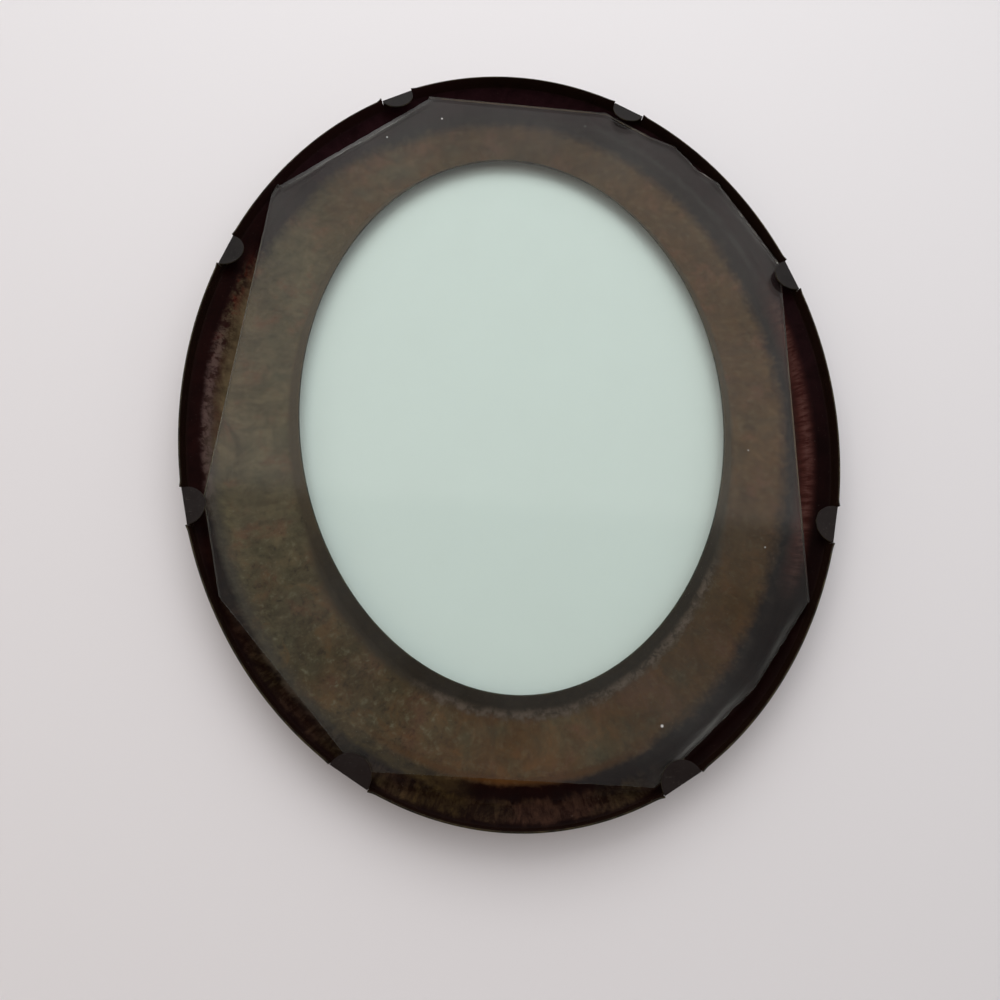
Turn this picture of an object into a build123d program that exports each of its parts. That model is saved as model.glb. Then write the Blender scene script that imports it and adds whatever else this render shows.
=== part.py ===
from build123d import *
import os

# Antique oval picture frame: a shell pressed from one thin sheet, with half-round tabs round its
# back rim that are folded in over a hand-cut glass pane. It lies on its front, back upwards.
# Millimetres. The origin is the middle of the oval, level with the front face. +Z points out of
# the back, +Y runs along the oval to its top, +X is to the right as seen from the back.

# Opening that shows the picture, and the sheet
sight_width = 127.0            # a 5 x 7 inch picture shows through it
sight_height = 178.0
sheet_thickness = 0.45
frame_depth = 11.4             # front face to back rim

# Section of the pressed band, from the rim inwards, along the middle of the sheet
flange_lean = 0.25             # the upright flange leans in by this much at its foot
flange_depth = 3.8
shoulder_run = 4.8             # gentle slope that carries the corners of the glass
shoulder_drop = 2.6
slope_run = 5.3                # steeper slope down to the front face
face_width = 17.4              # broad flat front face
face_trim = 0.03               # worn off the front face, which leaves it a true plane
lip_run = 3.8
lip_rise = 4.3                 # edge of the turned-back lip above the front face

# Bends of the section
flange_bend_radius = 0.4
shoulder_bend_radius = 1.5
face_bend_radius = 4.0
lip_bend_radius = 2.0

# Tabs, spaced evenly round the rim
tab_count = 8
tab_width = 10.9
tab_reach = 5.4                # fold line to the round end
tab_ring_shift = 3.6           # the ring of tabs is turned clockwise by this much along the rim
fold_drop = 0.7                # rim down to the middle of the fold
fold_setback = 0.1             # the straight fold lies inside the curved rim by this much
fold_gap = 0.05                # between the folded sheet and the flange below it
slit_width = 0.2               # lanced slit at each end of a tab
slit_depth = 1.9               # below the rim
notch_inset = 1.4              # how far in from the rim the cuts for a tab reach
tab_names = (
    "tab_top_right",
    "tab_upper_right",
    "tab_lower_right",
    "tab_bottom_right",
    "tab_bottom_left",
    "tab_lower_left",
    "tab_upper_left",
    "tab_top_left",
)
tab_rise_angles = (5.0, 4.0, 3.0, 6.0, 5.0, 3.0, 4.0, 6.0)    # how far each tip stands up

# Glass pane, cut by hand with straight edges to drop inside the flange
glass_thickness = 2.0
glass_side_clearance = 0.2     # flange to the corners that reach it
glass_seat_clearance = 0.02
# Corners clockwise from the top left, as shares of the largest oval that drops inside the flange
glass_corner_shares = (
    (-0.279, 0.941),
    (0.378, 0.894),
    (0.525, 0.812),
    (0.624, 0.774),
    (0.698, 0.689),
    (0.758, 0.646),
    (0.930, 0.366),
    (0.822, -0.557),
    (0.634, -0.738),
    (0.327, -0.933),
    (-0.439, -0.885),
    (-0.837, -0.525),
    (-0.912, -0.294),
    (-0.811, 0.573),
    (-0.794, 0.607),
)

# Every cutting tool passes the metal by this much
cut_overrun = 1.0

# Worked out from the sizes above
half_sheet = sheet_thickness / 2
flange_foot_inset = half_sheet + flange_lean
shoulder_inset = flange_foot_inset + shoulder_run
face_start_inset = shoulder_inset + slope_run
face_end_inset = face_start_inset + face_width
lip_edge_inset = face_end_inset + lip_run
band_width = lip_edge_inset + half_sheet
rim_half_width = sight_width / 2 + band_width
rim_half_height = sight_height / 2 + band_width
flange_foot_level = frame_depth - flange_depth - half_sheet
fold_level = frame_depth - fold_drop
fold_inset = half_sheet + fold_setback
glass_corner_inset = sheet_thickness + flange_lean + glass_side_clearance
shoulder_fall = shoulder_drop / shoulder_run
seat_fall = (glass_corner_inset - flange_foot_inset) * shoulder_fall
seat_level = flange_foot_level - seat_fall + half_sheet * (1 + shoulder_fall**2) ** 0.5
glass_bottom = seat_level + glass_seat_clearance


def rim_line():
    """Outer edge of the rim at the level of the front face, anticlockwise from the top."""
    upright = Plane.XY.rotated((0, 0, 90))
    return Edge.make_ellipse(rim_half_height, rim_half_width, plane=upright)


def band_section():
    """Section of the pressed sheet: x is the inset from the rim, y is the height."""
    face_middle = half_sheet - face_trim
    points = (
        (half_sheet, frame_depth - half_sheet),
        (flange_foot_inset, flange_foot_level),
        (shoulder_inset, flange_foot_level - shoulder_drop),
        (face_start_inset, face_middle),
        (face_end_inset, face_middle),
        (lip_edge_inset, lip_rise),
    )
    bends = (
        flange_bend_radius,
        shoulder_bend_radius,
        face_bend_radius,
        lip_bend_radius,
    )
    middle_line = Wire(FilletPolyline(*points, radius=bends).edges())
    outline = middle_line.offset_2d(half_sheet, kind=Kind.ARC, side=Side.BOTH, closed=True)
    return Face(outline)


def rim_plane(turn):
    """Plane on the rim line at a share of its length: x along the rim, y inwards, z up."""
    rim = rim_line()
    return Plane(origin=rim @ turn, x_dir=rim % turn, z_dir=(0, 0, 1))


def tab_turn(number):
    """Share of the rim's length, anticlockwise from the top, at the middle of a tab."""
    clockwise = (number + 0.5) / tab_count + tab_ring_shift / rim_line().length
    return 1 - clockwise


def fold_point(number):
    """Middle of a tab's fold line."""
    return rim_plane(tab_turn(number)).from_local_coords((0, fold_inset, fold_level))


def cut_block(width, inner, low, high):
    """Block that cuts the flange, centred on a tab, from outside the rim to an inset."""
    block = Box(width, inner + cut_overrun, high - low, align=(Align.CENTER, Align.MAX, Align.MIN))
    return Pos(0, inner, low) * block


def tab_cut():
    """Notch that a tab leaves in the flange, with a deeper slit at each end."""
    top = frame_depth + cut_overrun
    notch_floor = fold_level - half_sheet - fold_gap
    cut = cut_block(tab_width + 2 * slit_width, notch_inset, notch_floor, top)
    slit = cut_block(slit_width, notch_inset, frame_depth - slit_depth, top)
    slit_offset = (tab_width + slit_width) / 2
    return cut + Pos(slit_offset, 0, 0) * slit + Pos(-slit_offset, 0, 0) * slit


def frame_shell():
    """The whole pressed band with the notches of the tabs cut into its flange."""
    rim = rim_line()
    section_plane = Plane(origin=rim @ 0, x_dir=(0, -1, 0), z_dir=rim % 0)
    shell = sweep(section_plane * band_section(), path=rim)
    shell = split(shell, Plane.XY, keep=Keep.TOP)
    for number in range(tab_count):
        shell -= rim_plane(tab_turn(number)) * tab_cut()
    return shell


def tab(number):
    """One half-round tab, folded in over the glass, with its rounded fold."""
    half_width = tab_width / 2
    straight_edge = Line((half_width, 0), (-half_width, 0))
    round_edge = ThreePointArc((-half_width, 0), (0, tab_reach), (half_width, 0))
    outline = make_face(straight_edge + round_edge)
    leaf = extrude(outline, half_sheet, both=True)
    fold = Rot(0, 90, 0) * Cylinder(half_sheet, tab_width)
    folded = Rot(tab_rise_angles[number], 0, 0) * (leaf + fold)
    along_fold = rim_plane(tab_turn(number)).x_dir
    return Plane(origin=fold_point(number), x_dir=along_fold) * folded


def glass_pane():
    """Flat pane whose corners rest on the shoulder inside the flange."""
    reach_across = rim_half_width - glass_corner_inset
    reach_along = rim_half_height - glass_corner_inset
    corners = [(x * reach_across, y * reach_along) for x, y in glass_corner_shares]
    outline = make_face(Polyline(*corners, close=True))
    return Pos(0, 0, glass_bottom) * extrude(outline, glass_thickness)


def build_nodes():
    nodes = {"frame_shell": frame_shell(), "glass_pane": glass_pane()}
    for number, name in enumerate(tab_names):
        nodes[name] = tab(number)
    return nodes


if __name__ == "__main__":
    os.makedirs("parts", exist_ok=True)
    for name, solid in build_nodes().items():
        export_step(solid, os.path.join("parts", name + ".step"))
        print(name, "volume", round(solid.volume, 1))
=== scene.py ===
import math

import bmesh
import bpy
from mathutils import Matrix, Vector, noise


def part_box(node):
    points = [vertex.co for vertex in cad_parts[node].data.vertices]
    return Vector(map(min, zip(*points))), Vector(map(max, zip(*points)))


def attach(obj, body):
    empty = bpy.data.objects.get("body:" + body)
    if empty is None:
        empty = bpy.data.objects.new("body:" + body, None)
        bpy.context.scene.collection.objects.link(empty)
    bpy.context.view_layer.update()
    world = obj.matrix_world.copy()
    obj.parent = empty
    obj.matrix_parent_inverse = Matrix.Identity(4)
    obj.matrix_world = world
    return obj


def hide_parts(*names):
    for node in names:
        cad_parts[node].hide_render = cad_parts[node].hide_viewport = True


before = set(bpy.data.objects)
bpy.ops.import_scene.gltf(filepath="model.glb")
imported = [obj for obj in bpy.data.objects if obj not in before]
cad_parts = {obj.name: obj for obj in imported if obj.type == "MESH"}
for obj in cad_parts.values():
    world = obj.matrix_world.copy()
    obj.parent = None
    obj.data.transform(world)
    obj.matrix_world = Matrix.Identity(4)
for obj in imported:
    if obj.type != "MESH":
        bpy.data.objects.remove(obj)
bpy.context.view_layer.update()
mm = 0.001

# The oval rim, read from the shell in the frame. Distances along it run clockwise from the top.
shellLow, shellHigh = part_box("frame_shell")
rim = {
    "halfWidth": shellHigh.x,
    "halfHeight": shellHigh.y,
    "level": shellHigh.z,
    "steps": 4000,                     # even turns at which its length is measured
}


def rimTable():
    # length along the rim at even turns, so that a distance can be turned into a point
    lengths = [0.0]
    last = Vector((0, rim["halfHeight"]))
    for step in range(1, rim["steps"] + 1):
        turn = 2 * math.pi * step / rim["steps"]
        here = Vector((rim["halfWidth"] * math.sin(turn), rim["halfHeight"] * math.cos(turn)))
        lengths.append(lengths[-1] + (here - last).length)
        last = here
    return lengths


rimLengths = rimTable()
rimLength = rimLengths[-1]


def rimTurn(distance):
    # turn from the top, clockwise, at a distance along the rim
    distance %= rimLength
    low, high = 0, rim["steps"]
    while high - low > 1:
        middle = (low + high) // 2
        if rimLengths[middle] <= distance:
            low = middle
        else:
            high = middle
    share = (distance - rimLengths[low]) / (rimLengths[high] - rimLengths[low])
    return 2 * math.pi * (low + share) / rim["steps"]


def rimPlace(distance):
    # point on the rim with x along it, y inwards and z up
    turn = rimTurn(distance)
    point = Vector((rim["halfWidth"] * math.sin(turn), rim["halfHeight"] * math.cos(turn), 0))
    along = Vector((-rim["halfWidth"] * math.cos(turn), rim["halfHeight"] * math.sin(turn), 0))
    along.normalize()
    inwards = Vector((-along.y, along.x, 0))
    place = Matrix((along, inwards, Vector((0, 0, 1)))).transposed().to_4x4()
    place.translation = point
    return place


def newPiece(name, bm, materials, body, node):
    mesh = bpy.data.meshes.new(name)
    bm.to_mesh(mesh)
    bm.free()
    for material in materials:
        mesh.materials.append(material)
    piece = bpy.data.objects.new(name, mesh)
    bpy.context.scene.collection.objects.link(piece)
    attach(piece, body)
    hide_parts(node)
    return piece


# Nodes of the materials
def newMaterial(name):
    material = bpy.data.materials.new(name)
    material.use_nodes = True
    material.node_tree.nodes.clear()
    return material, material.node_tree


def addNode(tree, kind, **settings):
    node = tree.nodes.new(kind)
    for key, value in settings.items():
        if key in node.inputs:
            node.inputs[key].default_value = value
        else:
            setattr(node, key, value)
    return node


def join(tree, value, socket):
    # a socket of another node is linked, and a number or a colour is set
    if isinstance(value, bpy.types.NodeSocket):
        tree.links.new(value, socket)
    elif isinstance(value, (int, float)):
        socket.default_value = value
    else:
        socket.default_value = (*value, 1)


def objectPlace(tree):
    return addNode(tree, "ShaderNodeTexCoord").outputs["Object"]


def parts(tree, vector):
    # x, y and z of a vector
    split = addNode(tree, "ShaderNodeSeparateXYZ")
    join(tree, vector, split.inputs[0])
    return split.outputs


def mapped(tree, vector, **settings):
    node = addNode(tree, "ShaderNodeMapping", **settings)
    join(tree, vector, node.inputs["Vector"])
    return node.outputs["Vector"]


def noiseFactor(tree, vector, scale, detail=4, roughness=0.6, distortion=0.0):
    node = addNode(tree, "ShaderNodeTexNoise", Scale=scale, Detail=detail, Roughness=roughness,
                   Distortion=distortion)
    join(tree, vector, node.inputs["Vector"])
    return node.outputs["Fac"]


def mixColour(tree, factor, first, second):
    # a Mix node has sockets for each kind of data, and 6, 7 and 2 are those for colours
    node = addNode(tree, "ShaderNodeMix", data_type="RGBA", clamp_factor=True)
    join(tree, factor, node.inputs[0])
    join(tree, first, node.inputs[6])
    join(tree, second, node.inputs[7])
    return node.outputs[2]


def maths(tree, operation, first, second=0.0, clamp=False):
    node = addNode(tree, "ShaderNodeMath", operation=operation, use_clamp=clamp)
    join(tree, first, node.inputs[0])
    join(tree, second, node.inputs[1])
    return node.outputs[0]


def combined(tree, operation, factors):
    result = factors[0]
    for factor in factors[1:]:
        result = maths(tree, operation, result, factor)
    return result


def product(tree, *factors):
    return combined(tree, "MULTIPLY", factors)


def strongest(tree, *factors):
    return combined(tree, "MAXIMUM", factors)


def remap(tree, value, low, high, toLow=0.0, toHigh=1.0, smooth=False):
    node = addNode(tree, "ShaderNodeMapRange", clamp=True)
    if smooth:
        node.interpolation_type = "SMOOTHSTEP"
    join(tree, value, node.inputs["Value"])
    node.inputs["From Min"].default_value = low
    node.inputs["From Max"].default_value = high
    node.inputs["To Min"].default_value = toLow
    node.inputs["To Max"].default_value = toHigh
    return node.outputs["Result"]


def bell(tree, value, middle, reach):
    # 1 at the middle, falling to 0 at the reach on both sides
    away = maths(tree, "ABSOLUTE", maths(tree, "SUBTRACT", value, middle))
    return remap(tree, away, 0.0, reach, 1.0, 0.0, smooth=True)


def bump(tree, height, distance, strength, before=None):
    node = addNode(tree, "ShaderNodeBump", Strength=strength, Distance=distance)
    join(tree, height, node.inputs["Height"])
    if before is not None:
        join(tree, before, node.inputs["Normal"])
    return node.outputs["Normal"]


def principled(tree, settings, **inputs):
    # one value all over is set on the shader's own socket, and a pattern is linked to it
    shader = addNode(tree, "ShaderNodeBsdfPrincipled", **settings)
    sockets = {"colour": "Base Color", "roughness": "Roughness", "normal": "Normal"}
    for name, value in inputs.items():
        join(tree, value, shader.inputs[sockets[name]])
    return shader.outputs[0]


def mixShader(tree, factor, first, second):
    node = addNode(tree, "ShaderNodeMixShader")
    for source, socket in zip((factor, first, second), node.inputs):
        join(tree, source, socket)
    return node.outputs[0]


def surface(tree, shader):
    out = addNode(tree, "ShaderNodeOutputMaterial")
    join(tree, shader, out.inputs["Surface"])


# The pressed shell and its tabs
tabs = {
    "count": 8,
    "names": ("tab_top_right", "tab_upper_right", "tab_lower_right", "tab_bottom_right",
              "tab_bottom_left", "tab_lower_left", "tab_upper_left", "tab_top_left"),
    "width": 10.9 * mm,
    "reach": 5.4 * mm,
    "slit": 0.2 * mm,
    "ringShift": 3.6 * mm,
    "foldInset": 0.325 * mm,
    "foldLevel": 10.7 * mm,
    "foldShare": 0.98,                 # of half the sheet, rounded off above and below the fold
    "foldSteps": 5,
    "flatLimit": 0.99,                 # faces that point up or down by more than this stay flat
    "faceLimit": 0.5,                  # and those that do by less than this show the sheared edge
    "cutSlack": 1e-7,
    "roundSteps": 72,                  # in the full round that a leaf is cut from
    "rise": (5, 4, 3, 6, 5, 3, 4, 6),  # degrees, how far each tip stands up
}

shell = {
    "sheet": 0.45 * mm,
    "section": (                       # inset from the rim, height above the front face, bend
        (0.225 * mm, 11.37 * mm, 0),
        (0.29 * mm, 10.425 * mm, 0),      # floor of the tabs' notches
        (0.36 * mm, 9.5 * mm, 0),         # foot of the slits
        (0.475 * mm, 7.375 * mm, 0.4 * mm),
        (5.275 * mm, 4.775 * mm, 1.5 * mm),
        (10.575 * mm, 0.225 * mm, 4.0 * mm),
        (27.975 * mm, 0.225 * mm, 2.0 * mm),
        (31.775 * mm, 4.3 * mm, 0),
    ),
    "bendSteps": 5,
    "longestStep": 1.6 * mm,           # across the band
    "longestColumn": 2.2 * mm,         # along the rim
    "edgeSoftness": 0.06 * mm,
    "edgeSteps": 2,
    "edgeAngle": 50,                   # degrees, from which an edge is softened
    "burrReach": 2.6 * mm,             # how far the sprung corner beside a slit runs along the rim
    "burrSteps": (0.5 * mm, 1.2 * mm, 2.0 * mm),
    "burrSlack": 0.01 * mm,            # for a column that lies on the side of a slit
    "burrs": ((0.35, 0.55), (0.60, 0.35), (0.45, 0.35), (0.35, 0.50),
              (0.45, 0.20), (0.40, 0.45), (0.40, 0.30), (1.00, 0.60)),     # mm, at both ends of each tab
}

notchFloor = shell["section"][1][1]
slitFoot = shell["section"][2][1]
slitInner = tabs["width"] / 2
slitOuter = slitInner + tabs["slit"]


def bandBends():
    # distances across the sheet from the rim to the bends of its section
    lengths = [0.0]
    points = [Vector((inset, height)) for inset, height, bend in shell["section"]]
    for before, here in zip(points, points[1:]):
        lengths.append(lengths[-1] + (here - before).length)
    return dict(zip(("flange", "ridge", "face", "lip"), lengths[3:]))


bends = bandBends()

# Finish inside the shell. The stains of a mix are laid over each other in order, and each shows where
# all of its limits meet: "where" a mask is 1, "fade" from one level of a pattern to another, "past" or
# "softPast" two distances across the sheet, and "near" one, with its reach. Such a distance is a bend
# and the millimetres beyond it. A colour may be the name of another mix.
lacquer = {
    "patterns": {                      # scale, detail, roughness, distortion
        "drift": (42, 3, 0.6, 0.0),
        "clouds": (85, 6, 0.7, 0.3),
        "blotches": (130, 7, 0.66, 0.7),
        "mottles": (420, 6, 0.72, 0.3),
        "grains": (1700, 3, 0.7, 0.0),
    },
    "streaked": {                      # the same, stretched from the rim to the opening
        "streaks": (600, 5, 0.7, 0.4),
        "drips": (330, 2, 0.6, 0.0),
    },
    "stretch": (1, 1, 0.28),
    "dripFade": (0.38, 0.62),
    "places": {                        # middle, reach and softness, in degrees clockwise from the top
        "top": (10, 75, 25),
        "topMiddle": (4, 18, 12),
        "upperRight": (46, 22, 8),
        "rightSide": (60, 75, 12),
        "redRight": (96, 23, 7),
        "pinkRight": (97, 22, 8),
        "brownRight": (136, 24, 12),
        "dustyLip": (165, 40, 6),
        "lower": (178, 62, 8),
        "filmFoot": (182, 20, 6),
        "redFoot": (184, 20, 8),
        "amberFoot": (185, 22, 8),
        "yellowFilm": (194, 4, 3),
        "mouldySlope": (204, 10, 6),
        "filmLowerLeft": (220, 20, 8),
        "brownLeft": (222, 16, 10),
        "lowerLeft": (222, 24, 8),
        "greySlope": (241, 24, 12),
        "fadedLeft": (255, 46, 12),
        "leftSide": (265, 42, 14),
        "paleLeft": (266, 13, 5),
        "redLeft": (271, 20, 5),
        "left": (275, 30, 12),
        "oliveSlope": (284, 8, 4),
        "fadedTopLeft": (309, 16, 8),
        "topLeft": (325, 22, 12),
    },
    "notRight": 0.3,                   # what is left on the right side of a stain with this limit
    "patches": dict(where="notRight", fade=("drift", 0.50, 0.66, 0, 0.55)),
    "joined": {                        # masks put together, each mask with its share
        "oliveSides": ("MAXIMUM", ("leftSide", 0.75), ("lowerLeft", 0.4), ("patches", 1)),
        "redSides": ("MAXIMUM", ("redRight", 1), ("redLeft", 0.35)),
        "brownSides": ("MAXIMUM", ("brownRight", 1), ("brownLeft", 0.6)),
        "fadedSides": ("MAXIMUM", ("fadedLeft", 1), ("fadedTopLeft", 0.65)),
        "filmSides": ("ADD", ("filmFoot", 0.5), ("filmLowerLeft", 0.34)),
    },
    "allRound": {                      # a mask with some of it left all round
        "wornSide": ("lowerLeft", 0.12),
        "dirtySide": ("lowerLeft", 0.2),
    },
    "wobble": 3.5 * mm,                # how far the blotches move a border across the sheet
    "fray": 4.0 * mm,                  # and the mottles, on top of that
    "moved": {                         # distances across the sheet, moved on where a mask is 1
        "faceEdge": ("frayed", ("rightSide", -1.1 * mm), ("fadedSides", 4.2 * mm)),
        "lipEdge": ("frayed", ("lower", 2.4 * mm)),
        "dripping": ("across", ("drips", 2.4 * mm)),
    },
    "dust": {                          # masks of the dust that also makes the lacquer rough
        "paleDust": (
            dict(near=("wavy", ("ridge", 0.2), 2.4), where="paleLeft", fade=("mottles", 0.44, 0.56, 0.1, 1)),
        ),
        "film": (
            dict(softPast=("wavy", ("flange", 0.4), ("flange", 2.0)), where="filmSides",
                 fade=("mottles", 0.36, 0.60, 0.35, 1)),
            dict(softPast=("dripping", ("ridge", 3.4), ("ridge", 1.2)),
                 fade=("blotches", 0.40, 0.58, 0.20, 1)),
            dict(fade=("streaks", 0.40, 0.56, 0.35, 1)),
        ),
    },
    "mixes": {
        "inside": (
            dict(colour="flange"),
            dict(colour="wall", past=("across", ("flange", -0.6), ("flange", 0.8))),
            # red lacquer on the ridge, brightened as a painted highlight, on the right and a little on the
            # left
            dict(colour=(0.056, 0.014, 0.011), softPast=("across", ("ridge", -2.2), ("ridge", 1.2)),
                 where="redSides", fade=("streaks", 0.35, 0.62, 0.5, 1)),
            # painted highlight: a pale pink streaked band along the ridge on the right
            dict(colour=(0.120, 0.060, 0.052), near=("across", ("ridge", 1.0), 2.2),
                 where="pinkRight", fade=("streaks", 0.42, 0.62, 0, 0.5)),
            dict(colour="oliveRust", past=("wavy", ("ridge", -1.6), ("ridge", 0.4)),
                 where="oliveSlope", fade=("mottles", 0.34, 0.56, 0.1, 0.85)),
            # the dark slope, greyed and mouldy towards the lower left
            dict(colour="slope", past=("wavy", ("ridge", 2.4), ("face", -1.6))),
            dict(colour=(0.064, 0.046, 0.035), past=("wavy", ("ridge", -1.2), ("ridge", 0.6)),
                 where="greySlope", fade=("mottles", 0.30, 0.60, 0.6, 0.95)),
            dict(colour=(0.054, 0.031, 0.012), past=("wavy", ("ridge", 0.8), ("ridge", 2.4)),
                 where="mouldySlope", fade=("mottles", 0.34, 0.62, 0.25, 0.85)),
            # the broad face with an amber line at its border, and the lip
            dict(colour="face", past=("faceEdge", ("face", -1.8), ("face", 2.0))),
            dict(colour=(0.080, 0.026, 0.004), near=("across", ("face", 0.2), 1.8),
                 where="amberFoot", strength=0.6),
            dict(colour="lip", past=("lipEdge", ("lip", -0.8), ("lip", 1.2))),
            # dust: patches on the ridge, a film at the foot, a line on the lip's bend, flecks; and a painted
            # highlight band past the ridge at the upper right
            dict(colour=(0.125, 0.078, 0.070), where="paleDust", strength=0.65),
            # painted highlight: a lighter grey band past the ridge at the upper right
            dict(colour=(0.036, 0.028, 0.027), near=("frayed", ("ridge", 2.6), 1.5),
                 where="upperRight", fade=("mottles", 0.40, 0.60, 0.2, 0.9)),
            dict(colour="dustyFilm", where="film"),
            dict(colour=(0.125, 0.078, 0.062), near=("frayed", ("lip", -0.9), 2.4),
                 where="dustyLip", fade=("mottles", 0.43, 0.58, 0.15, 1)),
            dict(colour=(0.130, 0.100, 0.080), fade=("grains", 0.68, 0.75, 0, 0.4)),
        ),
        "flange": (
            dict(colour=(0.0060, 0.0028, 0.0018)),
            dict(colour=(0.0150, 0.0070, 0.0050), where="blotches"),
            dict(colour=(0.0170, 0.0066, 0.0062), where="topLeft"),
        ),
        "wall": (                      # deep maroon, a little purple at the top
            dict(colour=(0.0062, 0.0012, 0.0010)),
            dict(colour=(0.0190, 0.0056, 0.0074), where="top"),
            dict(colour=(0.0120, 0.0024, 0.0020), where="left"),
            dict(colour=(0.0016, 0.0004, 0.0004), fade=("blotches", 0.35, 0.65, 0.55, 0)),
        ),
        "oliveRust": (
            dict(colour=(0.018, 0.008, 0.005)),
            dict(colour=(0.085, 0.060, 0.034), fade=("mottles", 0.42, 0.62)),
            dict(colour=(0.080, 0.012, 0.007), fade=("blotches", 0.50, 0.58, 0, 0.8)),
        ),
        "slope": (
            dict(colour=(0.0040, 0.0014, 0.0016)),
            dict(colour=(0.0160, 0.0090, 0.0090), where="blotches"),
            dict(colour=(0.0340, 0.0220, 0.0180), fade=("mottles", 0.45, 0.65, 0, 0.5)),
            dict(colour="redSlope", where="redFoot"),
        ),
        "redSlope": (
            dict(colour=(0.0012, 0.0002, 0.0002)),
            dict(colour=(0.0120, 0.0014, 0.0005), where="streaks"),
        ),
        "warm": (
            dict(colour=(0.066, 0.027, 0.008)),
            dict(colour=(0.118, 0.050, 0.017), fade=("blotches", 0.30, 0.68)),
        ),
        "olive": (
            dict(colour=(0.050, 0.036, 0.020)),
            dict(colour=(0.140, 0.104, 0.062), fade=("blotches", 0.30, 0.68)),
        ),
        "face": (                      # orange-brown, olive-grey on the left, worn at the lower left
            dict(colour="warm"),
            dict(colour="olive", where="oliveSides"),
            dict(colour=(0.030, 0.022, 0.014), where="top", strength=0.2),
            dict(colour=(0.060, 0.046, 0.024), fade=("clouds", 0.50, 0.66, 0, 0.6), where="notRight"),
            dict(colour=(0.130, 0.050, 0.027), fade=("clouds", 0.36, 0.47, 0.65, 0)),
            dict(colour=(0.034, 0.018, 0.010), fade=("streaks", 0.48, 0.68, 0, 0.30)),
            dict(colour=(0.150, 0.098, 0.055), fade=("mottles", 0.50, 0.70, 0, 0.30)),
            dict(colour=(0.125, 0.046, 0.014), fade=("blotches", 0.54, 0.62, 0, 0.45), where="lower"),
            dict(colour=(0.200, 0.160, 0.110), fade=("mottles", 0.55, 0.70, 0, 0.6), where="wornSide"),
            # painted shade: the face darkened towards the lower right and the lower left
            dict(colour=(0.014, 0.008, 0.004), where="brownSides", strength=0.32),
            dict(colour=(0.020, 0.016, 0.012), where="topMiddle", strength=0.3),
            dict(colour=(0.018, 0.010, 0.007), fade=("mottles", 0.34, 0.46, 0.6, 0), where="dirtySide"),
        ),
        # lip: lightened with mottles as painted light on the upper and side parts, and at the bottom a
        # darker copy as painted shade
        "lip": (
            dict(colour=(0.050, 0.031, 0.018)),
            dict(colour=(0.120, 0.078, 0.048), where="mottles"),
            dict(colour="lowerLip", where="lower"),
        ),
        "lowerLip": (
            dict(colour=(0.020, 0.012, 0.008)),
            dict(colour=(0.056, 0.036, 0.022), where="mottles"),
        ),
        "dustyFilm": (
            dict(colour=(0.076, 0.035, 0.020)),
            dict(colour=(0.085, 0.056, 0.022), fade=("drift", 0.45, 0.60)),
            dict(colour=(0.070, 0.044, 0.010), where="yellowFilm", strength=0.8),
        ),
    },
    "shader": {"IOR": 1.5, "Specular IOR Level": 0.045},
    "roughness": (0.16, 0.55),         # at the ridge and on the face
    "dustRoughness": 0.4,
    "mottleRoughness": 0.12,
    "bumps": (("drift", 0.5 * mm, 0.25), ("mottles", 0.12 * mm, 0.4), ("grains", 0.03 * mm, 0.4)),
}


def nearTurn(tree, turn, middle, reach, soft):
    # 1 on the part of the rim within the reach of a turn, all in degrees clockwise from the top
    away = maths(tree, "COSINE", maths(tree, "SUBTRACT", turn, math.radians(middle)))
    outside = math.cos(math.radians(reach + soft))
    inside = math.cos(math.radians(reach - soft))
    return remap(tree, away, outside, inside, smooth=True)


def jittered(tree, measure, pattern, size):
    # a measure moved to and fro by a pattern, whose mean is a half
    return maths(tree, "ADD", measure, product(tree, maths(tree, "SUBTRACT", pattern, 0.5), size))


def acrossSheet(place):
    bend, beyond = place
    return bends[bend] + beyond * mm


def stainShare(tree, at, stain):
    # how much of a stain shows: the product of its limits
    limits = []
    for key in ("past", "softPast"):
        if key in stain:
            measure, start, end = stain[key]
            smooth = key == "softPast"
            limits.append(remap(tree, at[measure], acrossSheet(start), acrossSheet(end), smooth=smooth))
    if "near" in stain:
        measure, middle, reach = stain["near"]
        limits.append(bell(tree, at[measure], acrossSheet(middle), reach * mm))
    if "where" in stain:
        limits.append(at[stain["where"]])
    if "fade" in stain:
        pattern, *levels = stain["fade"]
        limits.append(remap(tree, at[pattern], *levels))
    if "strength" in stain:
        limits.append(stain["strength"])
    return product(tree, *limits)


def blend(tree, at, name):
    result = None
    for stain in lacquer["mixes"][name]:
        colour = stain["colour"]
        if isinstance(colour, str):
            colour = blend(tree, at, colour)
        if result is None:
            result = colour
        else:
            result = mixColour(tree, stainShare(tree, at, stain), result, colour)
    return result


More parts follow.
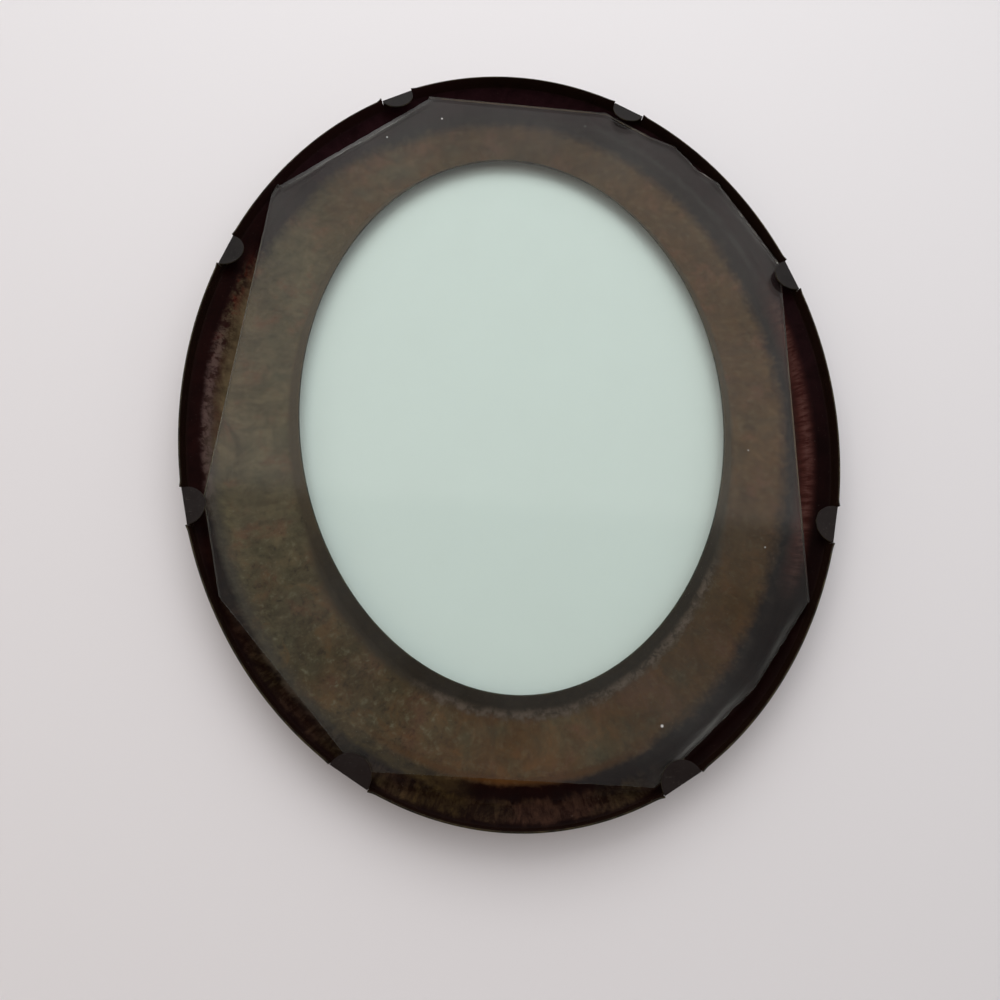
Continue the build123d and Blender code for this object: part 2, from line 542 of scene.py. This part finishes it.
def lacquerMasks(tree):
    # what the stains follow, by name: patterns, parts of the rim, and distances across the sheet
    foot = addNode(tree, "ShaderNodeAttribute", attribute_type="GEOMETRY", attribute_name="rimFoot")
    rimX, rimY, across = parts(tree, foot.outputs["Vector"])
    widened = maths(tree, "MULTIPLY", rimX, rim["halfHeight"] / rim["halfWidth"])
    turn = maths(tree, "ARCTAN2", widened, rimY)
    place = objectPlace(tree)
    stretched = mapped(tree, foot.outputs["Vector"], Scale=lacquer["stretch"])

    at = {"across": across}
    for name, settings in lacquer["patterns"].items():
        at[name] = noiseFactor(tree, place, *settings)
    for name, settings in lacquer["streaked"].items():
        at[name] = noiseFactor(tree, stretched, *settings)
    at["drips"] = remap(tree, at["drips"], *lacquer["dripFade"])
    for name, settings in lacquer["places"].items():
        at[name] = nearTurn(tree, turn, *settings)
    at["notRight"] = remap(tree, at["rightSide"], 0.0, 1.0, 1.0, lacquer["notRight"])
    at["patches"] = stainShare(tree, at, lacquer["patches"])
    for name, (operation, *shares) in lacquer["joined"].items():
        masks = [product(tree, at[mask], share) for mask, share in shares]
        at[name] = combined(tree, operation, masks)
    for name, (mask, least) in lacquer["allRound"].items():
        at[name] = maths(tree, "ADD", at[mask], least, clamp=True)
    at["wavy"] = jittered(tree, across, at["blotches"], lacquer["wobble"])
    at["frayed"] = jittered(tree, at["wavy"], at["mottles"], lacquer["fray"])
    for name, (measure, *shifts) in lacquer["moved"].items():
        distances = [product(tree, at[mask], distance) for mask, distance in shifts]
        at[name] = combined(tree, "ADD", [at[measure], *distances])
    for name, stains in lacquer["dust"].items():
        at[name] = product(tree, *[stainShare(tree, at, stain) for stain in stains])
    return at


def lacquerFinish():
    # inside of the shell: maroon lacquer near the rim, browned and stained towards the opening, with painted
    # highlights on the ridge and painted light and shade on the face and lip
    material, tree = newMaterial("frameLacquer")
    at = lacquerMasks(tree)
    rough = remap(tree, at["across"], bends["ridge"], bends["face"], *lacquer["roughness"])
    dusty = product(tree, strongest(tree, at["film"], at["paleDust"]), lacquer["dustRoughness"])
    rough = maths(tree, "ADD", rough, dusty, clamp=True)
    mottled = product(tree, at["mottles"], lacquer["mottleRoughness"])
    rough = maths(tree, "ADD", rough, mottled, clamp=True)
    normal = None
    for pattern, depth, strength in lacquer["bumps"]:
        normal = bump(tree, at[pattern], depth, strength, normal)
    colour = blend(tree, at, "inside")
    surface(tree, principled(tree, lacquer["shader"], colour=colour, roughness=rough, normal=normal))
    return material


enamel = {
    "outerEnamel": {
        "dark": (0.020, 0.007, 0.005),
        "light": (0.050, 0.020, 0.013),
        "roughness": (0.28, 0.45),
        "brownShare": 0.0,
    },
    "tabMetal": {
        "dark": (0.006, 0.0045, 0.0045),
        "light": (0.016, 0.013, 0.012),
        "roughness": (0.42, 0.6),
        "brownShare": 0.7,
    },
    "blotches": (300, 6, 0.7),         # scale, detail, roughness
    "flecks": (1500, 3, 0.7),
    "scratches": (260, 5, 0.8),
    "scratchStretch": (1, 14, 1),
    "scratchTurn": (0, 0, 0.6),
    "scratchDepth": 0.03 * mm,
    "scratchStrength": 0.4,
    "lightFade": (0.35, 0.7),
    "roughFade": (0.3, 0.7),
    "fleckFade": (0.60, 0.74, 0, 0.5),
    "scratchFade": (0.64, 0.68, 0, 0.5),
    "brownSpan": (0.02, -0.06),        # from here down to here along y, it turns brown
    "brown": (0.0110, 0.0055, 0.0044),
    "fleck": (0.055, 0.048, 0.042),
    "scratch": (0.20, 0.18, 0.16),
    "shader": {"Specular IOR Level": 0.3},
}


def outerFinish(name):
    # outside of the sheet, and the tabs: dull dark enamel, flecked and scratched
    own = enamel[name]
    material, tree = newMaterial(name)
    place = objectPlace(tree)
    stretched = mapped(tree, place, Scale=enamel["scratchStretch"], Rotation=enamel["scratchTurn"])
    blotches = noiseFactor(tree, place, *enamel["blotches"])
    flecks = noiseFactor(tree, place, *enamel["flecks"])
    scratches = noiseFactor(tree, stretched, *enamel["scratches"])
    x, y, z = parts(tree, place)
    brown = remap(tree, y, *enamel["brownSpan"], 0.0, own["brownShare"])
    colour = mixColour(tree, remap(tree, blotches, *enamel["lightFade"]), own["dark"], own["light"])
    colour = mixColour(tree, brown, colour, enamel["brown"])
    colour = mixColour(tree, remap(tree, flecks, *enamel["fleckFade"]), colour, enamel["fleck"])
    colour = mixColour(tree, remap(tree, scratches, *enamel["scratchFade"]), colour, enamel["scratch"])
    rough = remap(tree, blotches, *enamel["roughFade"], *own["roughness"])
    normal = bump(tree, scratches, enamel["scratchDepth"], enamel["scratchStrength"])
    surface(tree, principled(tree, enamel["shader"], colour=colour, roughness=rough, normal=normal))
    return material


bareEdge = {
    "wear": (400, 4),                  # scale, detail
    "wornFade": (0.4, 0.7),
    "dull": (0.010, 0.008, 0.003),
    "worn": (0.060, 0.046, 0.018),
    "roughness": (0.3, 0.7, 0.6, 0.35),      # two levels of wear, and the roughness at each
    "shader": {"Metallic": 0.3},
}


def cutEdgeFinish():
    # the sheared edge of the sheet, worn to olive-gold metal in places
    material, tree = newMaterial("cutEdge")
    wear = noiseFactor(tree, objectPlace(tree), *bareEdge["wear"])
    worn = remap(tree, wear, *bareEdge["wornFade"])
    colour = mixColour(tree, worn, bareEdge["dull"], bareEdge["worn"])
    rough = remap(tree, wear, *bareEdge["roughness"])
    surface(tree, principled(tree, bareEdge["shader"], colour=colour, roughness=rough))
    return material


def tabMiddle(number):
    return (number + 0.5) / tabs["count"] * rimLength + tabs["ringShift"]


def fromTab(distance, number):
    # distance along the rim from the middle of a tab, less than 0 before it
    return (distance - tabMiddle(number) + rimLength / 2) % rimLength - rimLength / 2


def subdivide(bm, longest):
    for edge in list(bm.edges):
        cuts = int(edge.calc_length() / longest)
        if cuts:
            bmesh.ops.subdivide_edges(bm, edges=[edge], cuts=cuts)


def sectionLine():
    # middle line of the pressed sheet with its bends rounded, from the rim to the opening
    bm = bmesh.new()
    verts = [bm.verts.new((inset, 0, height)) for inset, height, bend in shell["section"]]
    for first, second in zip(verts, verts[1:]):
        bm.edges.new((first, second))
    offsets = []
    for before, here, after, corner in zip(verts, verts[1:], verts[2:], shell["section"][1:]):
        if corner[2]:
            turn = (here.co - before.co).angle(after.co - here.co)
            offsets.append((here, corner[2] * math.tan(turn / 2)))
    for vert, offset in offsets:
        bmesh.ops.bevel(bm, geom=[vert], offset=offset, offset_type="OFFSET", affect="VERTICES",
                        segments=shell["bendSteps"], profile=0.5, material=-1)
    subdivide(bm, shell["longestStep"])
    bm.verts.ensure_lookup_table()
    here = min(bm.verts, key=lambda v: (v.co.x, -v.co.z))
    line = [here.co.copy()]
    edge = here.link_edges[0]
    while edge is not None:
        here = edge.other_vert(here)
        line.append(here.co.copy())
        onward = [e for e in here.link_edges if e is not edge]
        edge = onward[0] if onward else None
    bm.free()
    return line


def rimColumns():
    # distances along the rim, with one at each side of every slit
    beside = [slitOuter + step for step in shell["burrSteps"]]
    offsets = [-step for step in reversed(beside)] + [-slitOuter, -slitInner, slitInner, slitOuter] + beside
    stops = [tabMiddle(number) + offset for number in range(tabs["count"]) for offset in offsets]
    columns = []
    for first, second in zip(stops, stops[1:] + [stops[0] + rimLength]):
        count = max(1, math.ceil((second - first) / shell["longestColumn"]))
        columns += [first + (second - first) * step / count for step in range(count)]
    return columns


def springCorners(bm, along):
    # the flange stands out a little beside the slits, where the tabs were levered over
    for vert in bm.verts:
        lift = (vert.co.z - slitFoot) / (rim["level"] - slitFoot)
        if lift <= 0:
            continue
        for number, (before, after) in enumerate(shell["burrs"]):
            offset = fromTab(vert[along], number)
            beyond = abs(offset) - slitOuter
            if -shell["burrSlack"] <= beyond < shell["burrReach"]:
                size = (after if offset > 0 else before) * mm
                outwards = -rimPlace(vert[along]).col[1].xyz
                vert.co += outwards * size * lift * (1 - beyond / shell["burrReach"]) ** 2


def cutForTabs(bm, along):
    # open the notch that each tab leaves, with its deeper slits
    removed = []
    for face in bm.faces:
        distances = [vert[along] for vert in face.verts]
        if max(distances) - min(distances) > rimLength / 2:
            continue
        height = face.calc_center_median().z
        for number in range(tabs["count"]):
            offset = abs(fromTab(sum(distances) / len(distances), number))
            inNotch = offset < slitOuter and height > notchFloor
            inSlit = slitInner < offset < slitOuter and height > slitFoot
            if inNotch or inSlit:
                removed.append(face)
    bmesh.ops.delete(bm, geom=removed, context="FACES")


def placeRow(row, point, along, foot, across):
    # one ring of vertices round the rim, each with its distances along the rim and across the sheet
    for vert, (distance, place) in row.items():
        vert[along] = distance
        vert.co = place @ Vector((0, point.x, point.z))
        vert[foot] = (place.translation.x, place.translation.y, across)


def buildShell(materials):
    line = sectionLine()
    columns = rimColumns()
    bm = bmesh.new()
    along = bm.verts.layers.float.new("along")
    foot = bm.verts.layers.float_vector.new("rimFoot")
    ring = bmesh.ops.create_circle(bm, segments=len(columns), radius=1)["verts"]
    places = [rimPlace(distance) for distance in columns]
    row = dict(zip(ring, zip(columns, places)))
    across = 0.0
    placeRow(row, line[0], along, foot, across)
    edges = list(bm.edges)
    for before, point in zip(line, line[1:]):
        across += (point - before).length
        grown = bmesh.ops.extrude_edge_only(bm, edges=edges)["geom"]
        edges = [item for item in grown if isinstance(item, bmesh.types.BMEdge)]
        nextRow = {}
        for vert in (item for item in grown if isinstance(item, bmesh.types.BMVert)):
            twin = next(e.other_vert(vert) for e in vert.link_edges if e.other_vert(vert) in row)
            nextRow[vert] = row[twin]
        row = nextRow
        placeRow(row, point, along, foot, across)
    cutForTabs(bm, along)
    springCorners(bm, along)
    loose = [vert for vert in bm.verts if not vert.link_faces]
    bmesh.ops.delete(bm, geom=loose, context="VERTS")
    bmesh.ops.recalc_face_normals(bm, faces=bm.faces)
    lowest = min(bm.faces, key=lambda f: f.calc_center_median().z)
    if lowest.normal.z < 0:
        bmesh.ops.reverse_faces(bm, faces=bm.faces)
    for face in bm.faces:
        face.smooth = True
    piece = newPiece("frameShell", bm, materials, "frame", "frame_shell")
    thicken = piece.modifiers.new("sheet", "SOLIDIFY")
    thicken.thickness = shell["sheet"]
    thicken.offset = 0
    thicken.use_even_offset = True
    thicken.material_offset = 1
    thicken.material_offset_rim = 2
    soften = piece.modifiers.new("softEdge", "BEVEL")
    soften.width = shell["edgeSoftness"]
    soften.segments = shell["edgeSteps"]
    soften.limit_method = "ANGLE"
    soften.angle_limit = math.radians(shell["edgeAngle"])
    return piece


def buildTab(number, materials):
    sheet = shell["sheet"]
    halfSheet = sheet / 2
    bm = bmesh.new()
    bmesh.ops.create_circle(bm, cap_ends=True, segments=tabs["roundSteps"], radius=tabs["width"] / 2)
    bmesh.ops.bisect_plane(bm, geom=bm.verts[:] + bm.edges[:] + bm.faces[:], dist=tabs["cutSlack"],
                           plane_co=(0, 0, 0), plane_no=(0, 1, 0), clear_inner=True)
    stretch = tabs["reach"] / (tabs["width"] / 2)
    bmesh.ops.scale(bm, vec=(1, stretch, 1), verts=bm.verts)
    bmesh.ops.translate(bm, vec=(0, 0, -halfSheet), verts=bm.verts)
    grown = bmesh.ops.extrude_face_region(bm, geom=bm.faces[:])["geom"]
    top = [item for item in grown if isinstance(item, bmesh.types.BMVert)]
    bmesh.ops.translate(bm, vec=(0, 0, sheet), verts=top)
    bmesh.ops.recalc_face_normals(bm, faces=bm.faces)

    # the fold is a half round of the sheet's own thickness
    foldFace = min(bm.faces, key=lambda f: f.normal.y)
    foldEdges = [edge for edge in foldFace.edges if edge.calc_length() > sheet * 2]
    bmesh.ops.bevel(bm, geom=foldEdges, offset=halfSheet * tabs["foldShare"], offset_type="OFFSET",
                    affect="EDGES", segments=tabs["foldSteps"], profile=0.5, material=-1)
    folded = [vert for vert in bm.verts if vert.co.y < halfSheet * (1 + tabs["foldShare"]) / 2]
    bmesh.ops.translate(bm, vec=(0, -halfSheet, 0), verts=folded)
    for face in bm.faces:
        onFold = face.calc_center_median().y < halfSheet
        face.smooth = abs(face.normal.z) < tabs["flatLimit"]
        face.material_index = 0 if onFold or abs(face.normal.z) > tabs["faceLimit"] else 1
    rise = Matrix.Rotation(math.radians(tabs["rise"][number]), 4, "X")
    fold = Matrix.Translation((0, tabs["foldInset"], tabs["foldLevel"]))
    bmesh.ops.transform(bm, matrix=rimPlace(tabMiddle(number)) @ fold @ rise, verts=bm.verts)
    node = tabs["names"][number]
    word, height, side = node.split("_")
    name = word + height.capitalize() + side.capitalize()
    return newPiece(name, bm, materials, height + "_" + side + "_tab", node)


# The glass
pane = {
    "thickness": 2.0 * mm,
    "bottom": 7.42 * mm,
    "flangeInside": 0.9 * mm,
    "corners": ((-0.279, 0.941), (0.378, 0.894), (0.525, 0.812), (0.624, 0.774), (0.698, 0.689),
                (0.758, 0.646), (0.930, 0.366), (0.822, -0.557), (0.634, -0.738), (0.327, -0.933),
                (-0.439, -0.885), (-0.837, -0.525), (-0.912, -0.294), (-0.811, 0.573),
                (-0.794, 0.607)),      # shares of the oval inside the flange
    "nibbled": (3, 4, 5, 7, 8, 14),    # sides nibbled to size, each after the corner of its number
    "frosted": (14,),                  # and the one with a ground bevel
    "ground": {14: 0.42, 8: 0.10, 7: 0.05, 4: 0.06, 5: 0.06},      # strength of the streaks left by grinding
    "edgeStep": 0.5 * mm,
    "edgeCuts": 3,                     # between the lower and the upper face
    "chamfers": {2: 0.35, 3: 0.45, 4: 0.35, 7: 0.5, 8: 0.3, 14: 1.9},        # mm, on the upper side
    "leastChamfer": 0.06,              # and on every other side
    "edgeLimit": 0.98,                 # faces that point up or down by less than this are edge
    "chip": 0.22 * mm,                 # deepest chip in a clean side
    "chipBias": -0.05,                 # the lower, the more of the side stays whole
    "nibble": 0.55 * mm,               # and the same for a nibbled one
    "nibbleBias": 0.25,
    "chipGrains": ((420, 0.6), (1900, 0.4)),       # scale and share of coarse and fine chips
    "chipStretch": 2,                  # chips are wider than they are high
    "waist": 0.5,                      # share of a chip at half height
    "specks": ((-40.3, 93.9, 0.38), (-21.8, 102.8, 0.45), (27.8, 101.0, 0.2), (67.8, -51.4, 0.25),
               (33.9, -97.7, 0.5), (67.4, -22.1, 0.25)),      # mm, places of white specks and their radii
    "speckCore": 0.4,                  # share of the radius that is fully white
    "speckLevel": 0.8,                 # share of the thickness above which they lie
    "fineSpecks": {
        "spacing": 6 * mm,
        "radius": 0.15 * mm,
        "share": 0.16,                 # of the cells that hold one
        "shift": (0.011, 0.007, 0.0),
        "strength": 0.6,
    },
    "streaks": (1300, 3, 0.7),         # scale, detail, roughness
    "streakStretch": (0.06, 1, 1),
    "streakFade": (0.40, 0.62),
    "streakReach": 0.62,               # share of a side's length, from its middle both ways
    "streakInset": 1.2 * mm,
    "streakWidth": 1.5 * mm,
    "glass": {"Transmission Weight": 1.0, "IOR": 1.5},
    "dust": {"Roughness": 0.9},
    "haze": (28, 5),                   # scale, detail
    "hazeFade": (0.3, 0.7),
    "waves": (16, 1),
    "waveDepth": 1.2 * mm,
    "waveStrength": 0.12,
    "finishes": {
        "paneGlass": {
            "tint": (0.918, 0.982, 0.953),
            "roughness": 0.0,
            "dust": (0.0, 0.02),
            "dustColour": (0.55, 0.54, 0.52),
        },
        "paneEdge": {
            "tint": (0.42, 0.50, 0.46),
            "roughness": 0.12,
            "dust": (0.0, 0.03),
            "dustColour": (0.55, 0.54, 0.52),
        },
        "paneFrost": {
            "tint": (0.70, 0.76, 0.74),
            "roughness": 0.5,
            "dust": (0.25, 0.6),
            "dustColour": (0.10, 0.095, 0.095),
        },
    },
}


def fineSpecks(tree, place):
    # scattered round specks, one in a cell, on a share of the cells
    fine = pane["fineSpecks"]
    moved = mapped(tree, place, Location=fine["shift"])
    cells = addNode(tree, "ShaderNodeTexVoronoi", feature="F1", Scale=1 / fine["spacing"], Randomness=1.0)
    join(tree, moved, cells.inputs["Vector"])
    chosen = addNode(tree, "ShaderNodeSeparateColor")
    join(tree, cells.outputs["Color"], chosen.inputs[0])
    size = fine["radius"] / fine["spacing"]
    near = remap(tree, cells.outputs["Distance"], size, pane["speckCore"] * size)
    shown = maths(tree, "LESS_THAN", chosen.outputs[0], fine["share"])
    return product(tree, near, shown, fine["strength"])


def placedSpecks(tree, place):
    # the larger white specks, each at its own place
    flat = addNode(tree, "ShaderNodeVectorMath", operation="MULTIPLY")
    flat.inputs[1].default_value = (1, 1, 0)
    join(tree, place, flat.inputs[0])
    specks = []
    for x, y, radius in pane["specks"]:
        away = addNode(tree, "ShaderNodeVectorMath", operation="DISTANCE")
        away.inputs[1].default_value = (x * mm, y * mm, 0)
        join(tree, flat.outputs[0], away.inputs[0])
        specks.append(remap(tree, away.outputs["Value"], radius * mm, pane["speckCore"] * radius * mm))
    x, y, z = parts(tree, place)
    onTop = maths(tree, "GREATER_THAN", z, pane["bottom"] + pane["speckLevel"] * pane["thickness"])
    return product(tree, strongest(tree, *specks), onTop)


def paneCorners():
    reach = Vector((rim["halfWidth"], rim["halfHeight"])) - Vector((1, 1)) * pane["flangeInside"]
    return [Vector(corner) * reach for corner in pane["corners"]]


def groundStreaks(tree, place):
    # streaks left on the upper side along the edges that were ground
    corners = paneCorners()
    streaks = []
    for number, strength in pane["ground"].items():
        first = corners[number]
        side = corners[(number + 1) % len(corners)] - first
        turned = mapped(tree, place, vector_type="TEXTURE", Location=(first.x, first.y, 0),
                        Rotation=(0, 0, math.atan2(side.y, side.x)))
        x, y, z = parts(tree, turned)
        stretched = mapped(tree, turned, Scale=pane["streakStretch"])
        lines = remap(tree, noiseFactor(tree, stretched, *pane["streaks"]), *pane["streakFade"])
        onSide = bell(tree, x, side.length / 2, pane["streakReach"] * side.length)
        inside = bell(tree, y, -pane["streakInset"], pane["streakWidth"])
        streaks.append(product(tree, inside, onSide, lines, strength))
    return strongest(tree, *streaks)


def paneFinish(name):
    # old clear glass with a thin haze of dust; lamps pass straight through it
    own = pane["finishes"][name]
    material, tree = newMaterial(name)
    place = objectPlace(tree)
    waves = noiseFactor(tree, place, *pane["waves"])
    wavy = bump(tree, waves, pane["waveDepth"], pane["waveStrength"])
    glass = principled(tree, pane["glass"], colour=own["tint"], roughness=own["roughness"], normal=wavy)
    dust = principled(tree, pane["dust"], colour=own["dustColour"])
    haze = remap(tree, noiseFactor(tree, place, *pane["haze"]), *pane["hazeFade"], *own["dust"])
    white = strongest(tree, placedSpecks(tree, place), fineSpecks(tree, place))
    share = maths(tree, "ADD", haze, white, clamp=True)
    share = maths(tree, "ADD", share, groundStreaks(tree, place), clamp=True)
    clear = addNode(tree, "ShaderNodeBsdfTransparent", Color=(*own["tint"], 1)).outputs[0]
    rays = addNode(tree, "ShaderNodeLightPath").outputs
    lit = mixShader(tree, share, glass, dust)
    for ray in ("Is Diffuse Ray", "Is Shadow Ray"):
        lit = mixShader(tree, rays[ray], lit, clear)
    surface(tree, lit)
    return material


def paneSide(point, corners):
    # number of the side of the pane that a point is nearest to
    def gap(number):
        first = corners[number]
        side = corners[(number + 1) % len(corners)] - first
        share = max(0.0, min(1.0, (point - first).dot(side) / side.length_squared))
        return (first + side * share - point).length
    return min(range(len(corners)), key=gap)


def chipped(vert, corners):
    # place of a vertex once its side is chamfered and chipped a little, always inwards
    flat = vert.co.xy
    number = paneSide(flat, corners)
    side = corners[(number + 1) % len(corners)] - corners[number]
    inwards = Vector((side.y, -side.x)).normalized()
    lift = (vert.co.z - pane["bottom"]) / (pane["thickness"] / 2) - 1
    kind = "nibble" if number in pane["nibbled"] else "chip"
    spot = Vector((flat.x, flat.y, vert.co.z * pane["chipStretch"]))
    rough = sum(noise.noise(spot * scale) * share for scale, share in pane["chipGrains"])
    bite = max(0.0, rough + pane[kind + "Bias"]) * pane[kind]
    bite *= pane["waist"] + (1 - pane["waist"]) * abs(lift)
    chamfer = pane["chamfers"].get(number, pane["leastChamfer"]) * mm * max(0.0, lift) ** 2
    return flat + inwards * (bite + chamfer)


def buildPane(materials):
    corners = paneCorners()
    bm = bmesh.new()
    verts = [bm.verts.new((corner.x, corner.y, pane["bottom"])) for corner in corners]
    bm.faces.new(verts)
    bmesh.ops.recalc_face_normals(bm, faces=bm.faces)
    subdivide(bm, pane["edgeStep"])
    # raise the lower face to the upper one and cut the edge between them into rows
    grown = bmesh.ops.extrude_face_region(bm, geom=bm.faces[:])["geom"]
    top = [item for item in grown if isinstance(item, bmesh.types.BMVert)]
    bmesh.ops.translate(bm, vec=(0, 0, pane["thickness"]), verts=top)
    bmesh.ops.recalc_face_normals(bm, faces=bm.faces)
    steep = pane["thickness"] / 2
    upright = [edge for edge in bm.edges if abs(edge.verts[0].co.z - edge.verts[1].co.z) > steep]
    bmesh.ops.subdivide_edges(bm, edges=upright, cuts=pane["edgeCuts"], use_grid_fill=True)
    for vert in bm.verts:
        vert.co.xy = chipped(vert, corners)
    for face in bm.faces:
        isQuad = len(face.verts) <= 4
        if isQuad and abs(face.normal.z) < pane["edgeLimit"]:
            number = paneSide(face.calc_center_median().xy, corners)
            face.material_index = 2 if number in pane["frosted"] else 1
            face.smooth = True
    return newPiece("glassPane", bm, materials, "glass", "glass_pane")


# The stage
room = {
    "dim": (0.078, 0.073, 0.076),      # overhead, behind the camera
    "ahead": (0.375, 0.345, 0.335),    # pale wall beyond the top of the frame, seen in the glass
    "sides": (0.72, 0.71, 0.705),
    "horizon": (0.62, 0.61, 0.61),
    "backdrop": (0.70, 0.675, 0.68),
    "aheadTilt": (0.093, -0.345),      # how the lower edge of the wall ahead leans, for x and for z
    "aheadEdge": (-0.012, 0.03),
    "sideEdge": (0.56, 0.72),
    "lowEdge": (0.74, 0.84),
    "horizonEdge": (0.34, 0.22),
}

paleFloor = {
    "size": 3,
    "colour": (0.80, 0.785, 0.80),
    "shader": {"Roughness": 0.9, "Specular IOR Level": 0.2},
    "fade": (0.34, 0.75),              # distances between which it turns into the backdrop
}

lamps = {
    "windowLight": {
        "place": (-0.04, 0.42, 0.50),
        "target": (0, 0, 0),
        "size": (0.7, 0.5),
        "power": 1.5,
        "colour": (1, 1, 1),
    },
    "warmFill": {
        "place": (-0.45, -0.35, 0.42),
        "target": (0, 0, 0),
        "size": (0.6, 0.6),
        "power": 0.35,
        "colour": (1.0, 0.58, 0.30),
    },
    "ceilingLight": {
        "place": (0.08, 0.34, 0.60),
        "target": (0.08, 0.34, 0),
        "size": (1.2, 1.2),
        "power": 3.3,
        "colour": (1, 1, 1),
    },
}

view = {
    "place": (-16.5 * mm, -102.1 * mm, 190.6 * mm),
    "turn": (19.82, -2.98, -1.48),
    "lens": 24.98,
    "sensor": 36,
    "clip": (0.01, 20),
}


def buildFloor():
    # the floor fades into the colour of the backdrop well away from the frame
    material, tree = newMaterial("paleFloor")
    away = addNode(tree, "ShaderNodeVectorMath", operation="LENGTH")
    join(tree, objectPlace(tree), away.inputs[0])
    far = remap(tree, away.outputs["Value"], *paleFloor["fade"], smooth=True)
    rays = addNode(tree, "ShaderNodeLightPath").outputs
    seen = maths(tree, "ADD", rays["Is Camera Ray"], rays["Is Glossy Ray"], clamp=True)
    seen = maths(tree, "ADD", seen, rays["Is Transmission Ray"], clamp=True)
    shader = principled(tree, paleFloor["shader"], colour=paleFloor["colour"])
    backdrop = addNode(tree, "ShaderNodeEmission", Strength=1.0, Color=(*room["backdrop"], 1))
    surface(tree, mixShader(tree, product(tree, far, seen), shader, backdrop.outputs[0]))
    bm = bmesh.new()
    bmesh.ops.create_grid(bm, x_segments=1, y_segments=1, size=paleFloor["size"])
    mesh = bpy.data.meshes.new("paleFloor")
    bm.to_mesh(mesh)
    bm.free()
    mesh.materials.append(material)
    floor = bpy.data.objects.new("paleFloor", mesh)
    bpy.context.scene.collection.objects.link(floor)


def buildRoom():
    world = bpy.data.worlds.new("softRoom")
    world.use_nodes = True
    tree = world.node_tree
    x, y, z = parts(tree, addNode(tree, "ShaderNodeTexCoord").outputs["Generated"])
    tiltX, tiltZ = room["aheadTilt"]
    tilt = maths(tree, "ADD", product(tree, z, tiltZ), product(tree, x, tiltX))
    ahead = remap(tree, maths(tree, "ADD", y, tilt), *room["aheadEdge"], smooth=True)
    sides = remap(tree, maths(tree, "ABSOLUTE", x), *room["sideEdge"], smooth=True)
    low = remap(tree, y, *room["lowEdge"], smooth=True)
    colour = mixColour(tree, ahead, room["dim"], room["ahead"])
    colour = mixColour(tree, strongest(tree, sides, low), colour, room["sides"])
    horizon = remap(tree, z, *room["horizonEdge"], smooth=True)
    colour = mixColour(tree, horizon, colour, room["horizon"])
    seen = addNode(tree, "ShaderNodeLightPath").outputs["Is Camera Ray"]
    colour = mixColour(tree, seen, colour, room["backdrop"])
    join(tree, colour, tree.nodes["Background"].inputs["Color"])
    bpy.context.scene.world = world


def addLamp(name, settings):
    lamp = bpy.data.lights.new(name, "AREA")
    lamp.shape = "RECTANGLE"
    lamp.size, lamp.size_y = settings["size"]
    lamp.energy = settings["power"]
    lamp.color = settings["colour"]
    holder = bpy.data.objects.new(name, lamp)
    bpy.context.scene.collection.objects.link(holder)
    place = Vector(settings["place"])
    holder.location = place
    holder.rotation_euler = (Vector(settings["target"]) - place).to_track_quat("-Z", "Y").to_euler()
    holder.visible_glossy = False      # too near to be seen in the glass
    holder.visible_transmission = False


def buildCamera():
    lens = bpy.data.cameras.new("camera")
    lens.sensor_width = view["sensor"]
    lens.lens = view["lens"]
    lens.clip_start, lens.clip_end = view["clip"]
    camera = bpy.data.objects.new("camera", lens)
    bpy.context.scene.collection.objects.link(camera)
    camera.location = view["place"]
    camera.rotation_euler = [math.radians(angle) for angle in view["turn"]]
    bpy.context.scene.camera = camera


bpy.context.scene.view_settings.view_transform = "Standard"
buildCamera()
buildFloor()
buildRoom()
for name, settings in lamps.items():
    addLamp(name, settings)
print("stage ready")

cutEdge = cutEdgeFinish()
buildShell((lacquerFinish(), outerFinish("outerEnamel"), cutEdge))
print("shell built")
tabMetal = outerFinish("tabMetal")
for number in range(tabs["count"]):
    buildTab(number, (tabMetal, cutEdge))
print("tabs built")
buildPane([paneFinish(name) for name in pane["finishes"]])
print("pane built")
